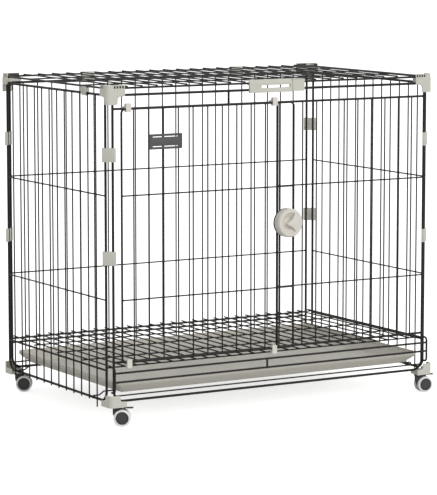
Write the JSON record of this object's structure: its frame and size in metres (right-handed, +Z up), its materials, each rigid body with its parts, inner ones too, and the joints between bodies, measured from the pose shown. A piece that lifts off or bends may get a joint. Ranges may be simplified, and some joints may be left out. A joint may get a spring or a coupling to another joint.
{
  "type": "folding dog cage",
  "caption": "Charcoal wire dog cage with a sliding door, hinged lid, floor grate, slide-out tray and swivel casters.",
  "frame": {"origin": "middle of the whole cage's footprint, on the floor", "axes": "+X to the cage's right as seen from the front, +Y to its back, +Z up"},
  "size_m": [0.9333, 0.5964, 0.804],
  "materials": {
    "wire_coat": "charcoal powder coat",
    "grey_plastic": "moulded, satin",
    "light_plastic": "moulded, satin",
    "tray_plastic": "moulded, fine texture",
    "dark_plastic": "moulded, satin",
    "plate_plastic": "moulded, matt",
    "white_tyre": "moulded, satin"
  },
  "bodies": {
    "cage": {"back_panel": "wire_coat", "left_panel": "wire_coat", "right_panel": "wire_coat", "front_panel": "wire_coat", "roof_hinge_clip_left": "grey_plastic", "roof_hinge_clip_right": "grey_plastic", "roof_side_clip": "grey_plastic", "tray_wire_front": "wire_coat", "tray_wire_back": "wire_coat", "corner_cap_back_left": "grey_plastic", "corner_cap_back_right": "grey_plastic", "corner_cap_front_left": "grey_plastic", "corner_cap_front_right": "grey_plastic", "bottom_bracket_back_left": "grey_plastic", "bottom_bracket_back_right": "grey_plastic", "bottom_bracket_front_left": "grey_plastic", "bottom_bracket_front_right": "grey_plastic", "hinge_sleeve_back_left_high": "grey_plastic", "hinge_sleeve_back_left_low": "grey_plastic", "hinge_sleeve_back_right_high": "grey_plastic", "hinge_sleeve_back_right_low": "grey_plastic", "hinge_sleeve_front_left_high": "grey_plastic", "hinge_sleeve_front_left_low": "grey_plastic", "hinge_sleeve_front_right_high": "grey_plastic", "hinge_sleeve_front_right_low": "grey_plastic"},
    "door": {"sliding_door": "wire_coat", "name_plate": "plate_plastic", "knob_backing": "dark_plastic", "glide_clip_bottom_left": "light_plastic", "glide_clip_bottom_right": "light_plastic", "glide_clip_top_left": "light_plastic", "glide_clip_top_right": "light_plastic"},
    "knob": {"knob_grip": "light_plastic"},
    "bolt": {"latch_bolt": "dark_plastic"},
    "roof": {"roof_panel": "wire_coat", "roof_handle": "grey_plastic"},
    "roof_catch": {"roof_latch": "grey_plastic"},
    "grate": {"floor_grate": "wire_coat"},
    "tray": {"tray": "tray_plastic"},
    "swivel_front_left": {"caster_housing_front_left": "dark_plastic"},
    "wheels_front_left": {"caster_wheels_front_left": "white_tyre"},
    "brake_front_left": {"brake_lever_front_left": "dark_plastic"},
    "swivel_front_right": {"caster_housing_front_right": "dark_plastic"},
    "wheels_front_right": {"caster_wheels_front_right": "white_tyre"},
    "brake_front_right": {"brake_lever_front_right": "dark_plastic"},
    "swivel_back_right": {"caster_housing_back_right": "dark_plastic"},
    "wheels_back_right": {"caster_wheels_back_right": "white_tyre"},
    "swivel_back_left": {"caster_housing_back_left": "dark_plastic"},
    "wheels_back_left": {"caster_wheels_back_left": "white_tyre"}
  },
  "joints": [
    {"name": "door_slide", "type": "slide", "parent": "cage", "child": "door", "axis": [1, 0, 0], "range_m": [0, 0.38]},
    {"name": "knob_turn", "type": "hinge", "parent": "door", "child": "knob", "pos_m": [0.018, -0.26743, 0.458], "axis": [0, 1, 0], "range_deg": [0, 90]},
    {"name": "bolt_slide", "type": "slide", "parent": "door", "child": "bolt", "axis": [0, 1, 0], "range_m": [0, 0.008]},
    {"name": "roof_hinge", "type": "hinge", "parent": "cage", "child": "roof", "pos_m": [-0.0055, 0.28857, 0.796], "axis": [-1, 0, 0], "range_deg": [0, 110]},
    {"name": "roof_latch_slide", "type": "slide", "parent": "roof", "child": "roof_catch", "axis": [1, 0, 0], "range_m": [0, 0.012]},
    {"name": "grate_lift", "type": "slide", "parent": "cage", "child": "grate", "axis": [0, 0, 1], "range_m": [0, 0.25]},
    {"name": "tray_slide", "type": "slide", "parent": "cage", "child": "tray", "axis": [0, -1, 0], "range_m": [0, 0.5]},
    {"name": "caster_swivel_front_left", "type": "hinge", "parent": "cage", "child": "swivel_front_left", "pos_m": [-0.438, -0.25543, 0], "axis": [0, 0, 1], "continuous": true},
    {"name": "caster_roll_front_left", "type": "hinge", "parent": "swivel_front_left", "child": "wheels_front_left", "pos_m": [-0.42686, -0.26212, 0.02011], "axis": [0.515, 0.8572, 0], "continuous": true},
    {"name": "brake_hinge_front_left", "type": "hinge", "parent": "swivel_front_left", "child": "brake_front_left", "pos_m": [-0.42386, -0.26392, 0.0413], "axis": [0.515, 0.8572, 0], "range_deg": [0, 8]},
    {"name": "caster_swivel_front_right", "type": "hinge", "parent": "cage", "child": "swivel_front_right", "pos_m": [0.427, -0.25543, 0], "axis": [0, 0, 1], "continuous": true},
    {"name": "caster_roll_front_right", "type": "hinge", "parent": "swivel_front_right", "child": "wheels_front_right", "pos_m": [0.43987, -0.25724, 0.02011], "axis": [0.1392, 0.9903, 0], "continuous": true},
    {"name": "brake_hinge_front_right", "type": "hinge", "parent": "swivel_front_right", "child": "brake_front_right", "pos_m": [0.44334, -0.25772, 0.0413], "axis": [0.1392, 0.9903, 0], "range_deg": [0, 8]},
    {"name": "caster_swivel_back_right", "type": "hinge", "parent": "cage", "child": "swivel_back_right", "pos_m": [0.427, 0.26757, 0], "axis": [0, 0, 1], "continuous": true},
    {"name": "caster_roll_back_right", "type": "hinge", "parent": "swivel_back_right", "child": "wheels_back_right", "pos_m": [0.43814, 0.26088, 0.02011], "axis": [0.515, 0.8572, 0], "continuous": true},
    {"name": "caster_swivel_back_left", "type": "hinge", "parent": "cage", "child": "swivel_back_left", "pos_m": [-0.438, 0.26757, 0], "axis": [0, 0, 1], "continuous": true},
    {"name": "caster_roll_back_left", "type": "hinge", "parent": "swivel_back_left", "child": "wheels_back_left", "pos_m": [-0.42686, 0.26088, 0.02011], "axis": [0.515, 0.8572, 0], "continuous": true}
  ],
  "couplings": [
    {"joint": "bolt_slide", "follows": "knob_turn", "m_per_rad": 0.00509}
  ]
}
